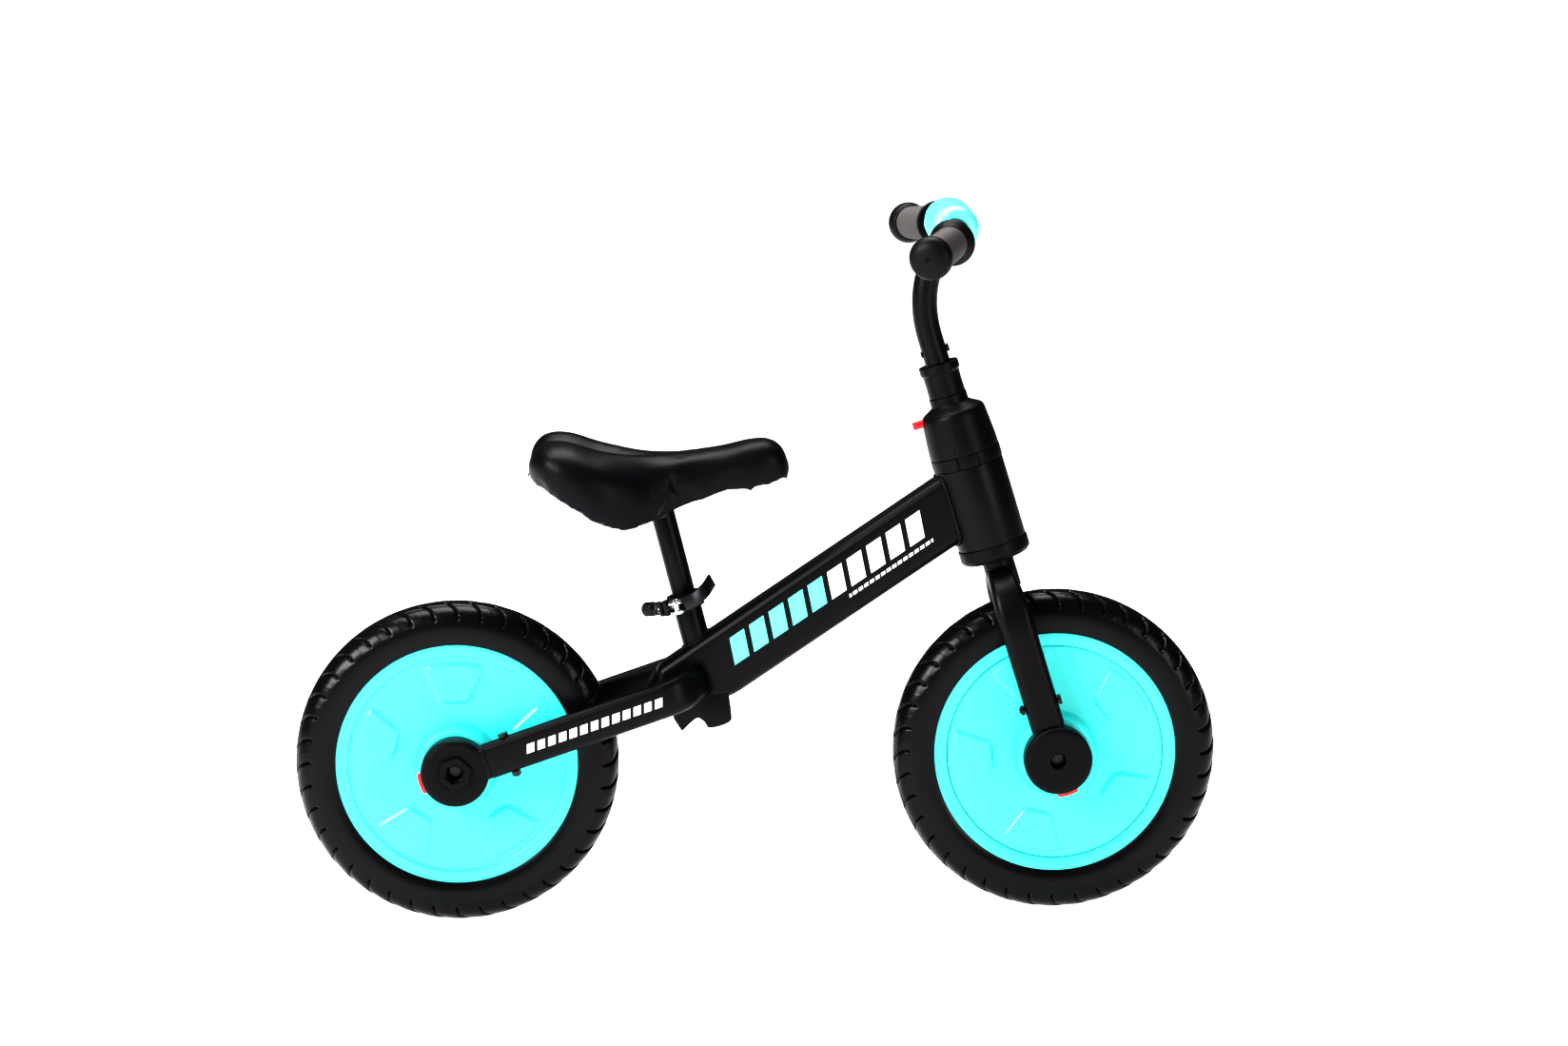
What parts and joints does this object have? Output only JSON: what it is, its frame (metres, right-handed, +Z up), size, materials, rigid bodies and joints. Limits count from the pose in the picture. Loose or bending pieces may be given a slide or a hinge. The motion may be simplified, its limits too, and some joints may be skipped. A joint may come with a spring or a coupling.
{
  "type": "balance bike",
  "caption": "Child's balance bike: foam-tyred disc wheels, slanted main tube, low saddle on a quick-release post, and a lift-off padded handlebar.",
  "frame": {"origin": "on the ground midway between the two axles, on the centre plane", "axes": "+X forward, +Y to the rider's left, +Z up"},
  "size_m": [0.826, 0.3812, 0.6425],
  "materials": {
    "frame_paint": "satin black powder coat",
    "black_plastic": "satin moulded black",
    "turquoise_plastic": "semi-gloss moulded turquoise",
    "tyre_foam": "satin black foam",
    "grip_rubber": "matt ribbed rubber",
    "bright_steel": "bright plated",
    "black_steel": "gloss black plated",
    "red_plastic": "semi-gloss red",
    "turquoise_cover": "wrinkled soft cover",
    "saddle_skin": "satin soft skin"
  },
  "bodies": {
    "frame": {"main_tube": "frame_paint", "head_tube": "frame_paint", "seat_tube": "frame_paint", "pedal_socket": "frame_paint", "tube_plug": "black_plastic", "stay_right": "frame_paint", "stay_left": "frame_paint", "rear_hub_right": "black_plastic", "rear_hub_left": "black_plastic", "rear_axle": "bright_steel", "stay_right_bolt": "black_steel", "stay_right_nut": "black_steel", "stay_left_bolt": "black_steel", "stay_left_nut": "black_steel", "lower_cup": "black_plastic", "headset_lower": "bright_steel", "headset_upper": "bright_steel", "limiter_ring": "black_plastic", "seat_clamp": "black_steel", "clamp_skewer": "bright_steel", "clamp_nut": "black_steel"},
    "fork": {"fork_crown": "frame_paint", "fork_blade_right": "frame_paint", "fork_blade_left": "frame_paint", "front_hub_right": "black_plastic", "front_hub_left": "black_plastic", "front_axle": "bright_steel", "fork_right_bolt": "black_steel", "fork_right_nut": "black_steel", "fork_left_bolt": "black_steel", "fork_left_nut": "black_steel", "top_cover": "black_plastic", "stem_collar": "black_plastic"},
    "handlebar": {"stem_tube": "frame_paint", "stem_pin": "black_steel", "handlebar": "frame_paint", "grip_right": "grip_rubber", "grip_left": "grip_rubber", "bar_pad": "turquoise_cover"},
    "front_wheel": {"front_tyre": "tyre_foam", "front_wheel": "turquoise_plastic", "front_wheel_cover": "turquoise_plastic", "front_bearing_right": "bright_steel", "front_bearing_left": "bright_steel"},
    "rear_wheel": {"rear_tyre": "tyre_foam", "rear_wheel": "turquoise_plastic", "rear_wheel_cover": "turquoise_plastic", "rear_bearing_right": "bright_steel", "rear_bearing_left": "bright_steel"},
    "seat": {"seat_post": "frame_paint", "saddle_base": "black_plastic", "saddle_cushion": "saddle_skin", "saddle_bolt": "black_steel"},
    "lever": {"clamp_lever": "black_steel"},
    "stem_button": {"stem_button": "red_plastic"},
    "front_release_right": {"front_release_right": "red_plastic"},
    "front_release_left": {"front_release_left": "red_plastic"},
    "rear_release_right": {"rear_release_right": "red_plastic"},
    "rear_release_left": {"rear_release_left": "red_plastic"}
  },
  "joints": [
    {"name": "steering", "type": "hinge", "parent": "frame", "child": "fork", "pos_m": [0.26944, 0, 0.14542], "axis": [-0.279, 0, 0.9603], "range_deg": [-45, 45]},
    {"name": "handlebar_lift", "type": "slide", "parent": "fork", "child": "handlebar", "axis": [-0.279, 0, 0.9603], "range_m": [0, 0.06]},
    {"name": "front_wheel_spin", "type": "hinge", "parent": "fork", "child": "front_wheel", "pos_m": [0.268, 0, 0.145], "axis": [0, 1, 0], "continuous": true},
    {"name": "rear_wheel_spin", "type": "hinge", "parent": "frame", "child": "rear_wheel", "pos_m": [-0.268, 0, 0.145], "axis": [0, 1, 0], "continuous": true},
    {"name": "seat_height", "type": "slide", "parent": "frame", "child": "seat", "axis": [-0.2334, 0, 0.9724], "range_m": [-0.035, 0.03]},
    {"name": "clamp_lever_swing", "type": "hinge", "parent": "frame", "child": "lever", "pos_m": [-0.06845, -0.02546, 0.28485], "axis": [-0.2334, 0, 0.9724], "range_deg": [-100, 0]},
    {"name": "stem_button_press", "type": "slide", "parent": "fork", "child": "stem_button", "axis": [0.9603, 0, 0.279], "range_m": [0, 0.004], "stiffness_N_per_m": 600, "springref_m": -0.001},
    {"name": "front_release_right_press", "type": "slide", "parent": "fork", "child": "front_release_right", "axis": [-0.279, 0, 0.9603], "range_m": [0, 0.003], "stiffness_N_per_m": 800, "springref_m": -0.001},
    {"name": "front_release_left_press", "type": "slide", "parent": "fork", "child": "front_release_left", "axis": [-0.279, 0, 0.9603], "range_m": [0, 0.003], "stiffness_N_per_m": 800, "springref_m": -0.001},
    {"name": "rear_release_right_press", "type": "slide", "parent": "frame", "child": "rear_release_right", "axis": [0.9494, 0, 0.314], "range_m": [0, 0.003], "stiffness_N_per_m": 800, "springref_m": -0.001},
    {"name": "rear_release_left_press", "type": "slide", "parent": "frame", "child": "rear_release_left", "axis": [0.9494, 0, 0.314], "range_m": [0, 0.003], "stiffness_N_per_m": 800, "springref_m": -0.001}
  ]
}
